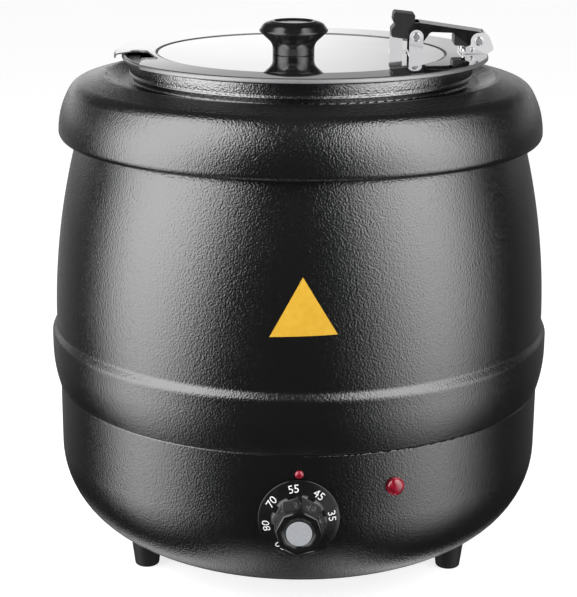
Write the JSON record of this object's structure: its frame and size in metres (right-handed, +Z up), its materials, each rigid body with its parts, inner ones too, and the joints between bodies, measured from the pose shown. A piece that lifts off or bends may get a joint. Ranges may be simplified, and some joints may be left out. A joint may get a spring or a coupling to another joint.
{
  "type": "soup kettle",
  "caption": "Barrel-shaped electric wet-heat soup kettle with a lift-out inner pot, a hinged lid in a notched rim ring, a thermostat dial and tapered feet.",
  "frame": {"origin": "on the floor under the centre of the round body", "axes": "+Z up, -Y out of the front where the dial is, +X towards the lid hinge"},
  "size_m": [0.3359, 0.3768, 0.3674],
  "materials": {
    "textured_black": "textured powder coat",
    "polished_steel": "mirror polished",
    "satin_steel": "satin",
    "zinc_steel": "zinc plated",
    "gloss_black": "gloss",
    "matte_black": "matte",
    "black_rubber": "matte",
    "grey_cap": "satin",
    "red_lens": "gloss",
    "amber_lens": "gloss",
    "element_steel": "heat tinted",
    "brass": "satin",
    "copper_tube": "drawn",
    "ivory_plastic": "matte"
  },
  "bodies": {
    "casing": {"base_bowl": "textured_black", "body_barrel": "textured_black", "shoulder_collar": "textured_black", "neck_ring": "matte_black", "water_well": "satin_steel", "rear_foot": "black_rubber", "left_foot": "black_rubber", "right_foot": "black_rubber", "tie_rods": "zinc_steel", "tie_rod_nuts": "zinc_steel", "base_plate": "zinc_steel", "base_plate_screws": "zinc_steel", "heating_element": "element_steel", "element_clamp": "zinc_steel", "clamp_stud": "zinc_steel", "clamp_nut": "zinc_steel", "thermal_cutout": "ivory_plastic", "thermostat_bulb": "copper_tube", "bulb_clip": "zinc_steel", "thermostat_capillary": "copper_tube", "terminal_block": "ivory_plastic", "thermostat_body": "ivory_plastic", "thermostat_screws": "zinc_steel", "pilot_lamp_lens": "amber_lens", "pilot_lamp_body": "ivory_plastic", "pilot_lamp_clip": "zinc_steel", "index_lens": "red_lens", "cord_gland": "matte_black", "gland_nut": "matte_black"},
    "dial": {"thermostat_dial": "gloss_black", "dial_cap": "grey_cap", "thermostat_shaft": "brass"},
    "pot": {"soup_pot": "satin_steel"},
    "ring": {"lid_ring": "polished_steel", "hinge_bracket": "polished_steel", "hinge_pin": "polished_steel", "stop_pin": "polished_steel", "bracket_rivets": "polished_steel"},
    "lid": {"lid_disc": "polished_steel", "lid_knob": "gloss_black", "knob_screw": "zinc_steel", "lid_clevis": "polished_steel", "clevis_rivets": "polished_steel", "hinge_arm": "polished_steel", "hinge_block": "matte_black", "release_pin": "polished_steel"},
    "lever": {"release_lever": "matte_black"}
  },
  "joints": [
    {"name": "dial_turn", "type": "hinge", "parent": "casing", "child": "dial", "pos_m": [0, -0.1641, 0.08], "axis": [0, -1, 0], "range_deg": [-140, 125]},
    {"name": "pot_lift", "type": "slide", "parent": "casing", "child": "pot", "axis": [0, 0, 1], "range_m": [0, 0.28]},
    {"name": "ring_lift", "type": "slide", "parent": "pot", "child": "ring", "axis": [0, 0, 1], "range_m": [0, 0.06]},
    {"name": "lid_hinge", "type": "hinge", "parent": "ring", "child": "lid", "pos_m": [0.1157, 0, 0.34945], "axis": [0, 1, 0], "range_deg": [0, 100]},
    {"name": "lever_press", "type": "hinge", "parent": "lid", "child": "lever", "pos_m": [0.0749, 0, 0.35195], "axis": [0, -1, 0], "range_deg": [0, 15], "stiffness_Nm_per_rad": 0.05}
  ]
}
